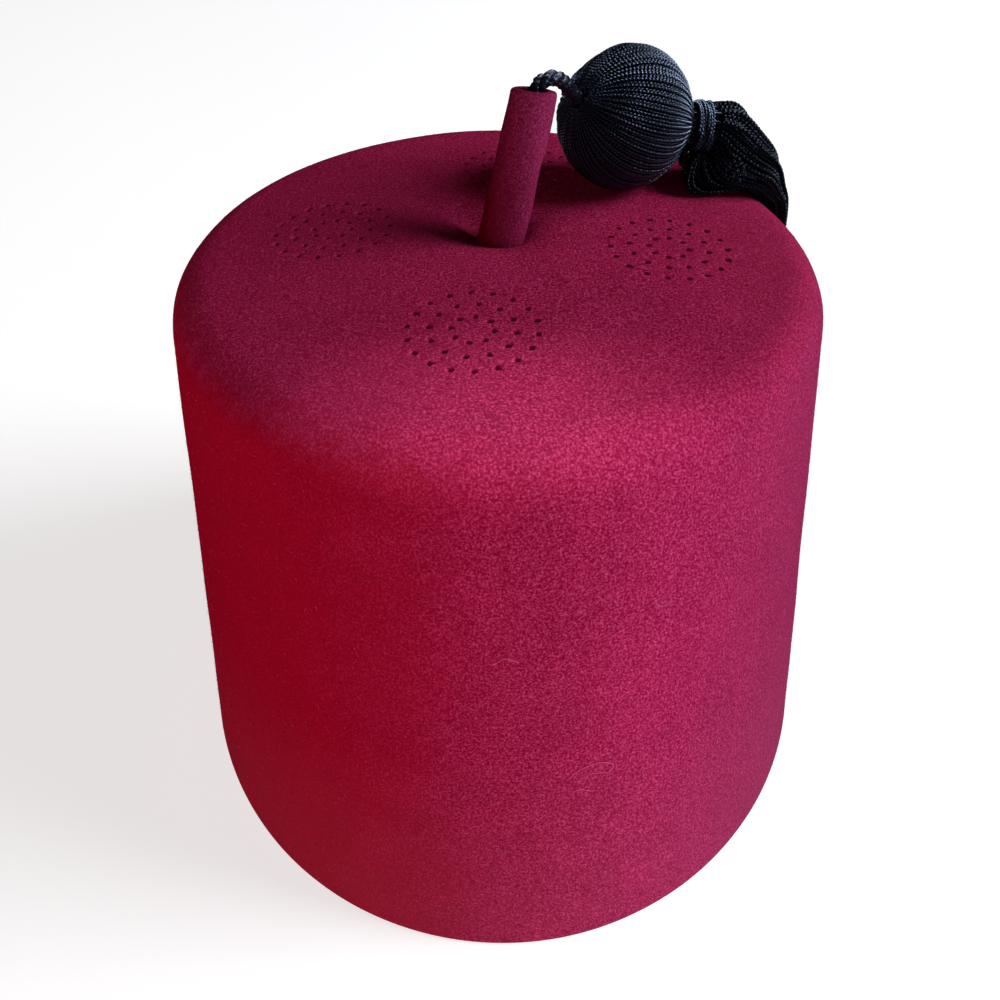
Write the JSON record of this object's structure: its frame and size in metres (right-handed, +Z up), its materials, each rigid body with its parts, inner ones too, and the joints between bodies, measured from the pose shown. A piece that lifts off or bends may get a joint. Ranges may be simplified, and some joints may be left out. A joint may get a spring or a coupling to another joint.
{
  "type": "felt prayer cap with tassel",
  "caption": "Tall tapered felt cap of the fez kind, open below for the head, with pierced vents, a felt stalk on top and a black thread tassel that hangs over its shoulder.",
  "frame": {"origin": "middle of the rim's opening, on the plane that the cap stands on", "axes": "+Z up to the top, -Y the front, +X the right as the front is looked at"},
  "size_m": [0.176, 0.204, 0.1766],
  "materials": {
    "felt": "fuzzy crimson wool felt",
    "tassel_thread": "blue-black twisted rayon thread with a soft gloss"
  },
  "bodies": {
    "root": {"crown": "felt", "stalk": "felt", "tassel_cord": "tassel_thread", "tassel_head": "tassel_thread", "tassel_neck": "tassel_thread", "tassel_fringe": "tassel_thread"}
  },
  "joints": []
}
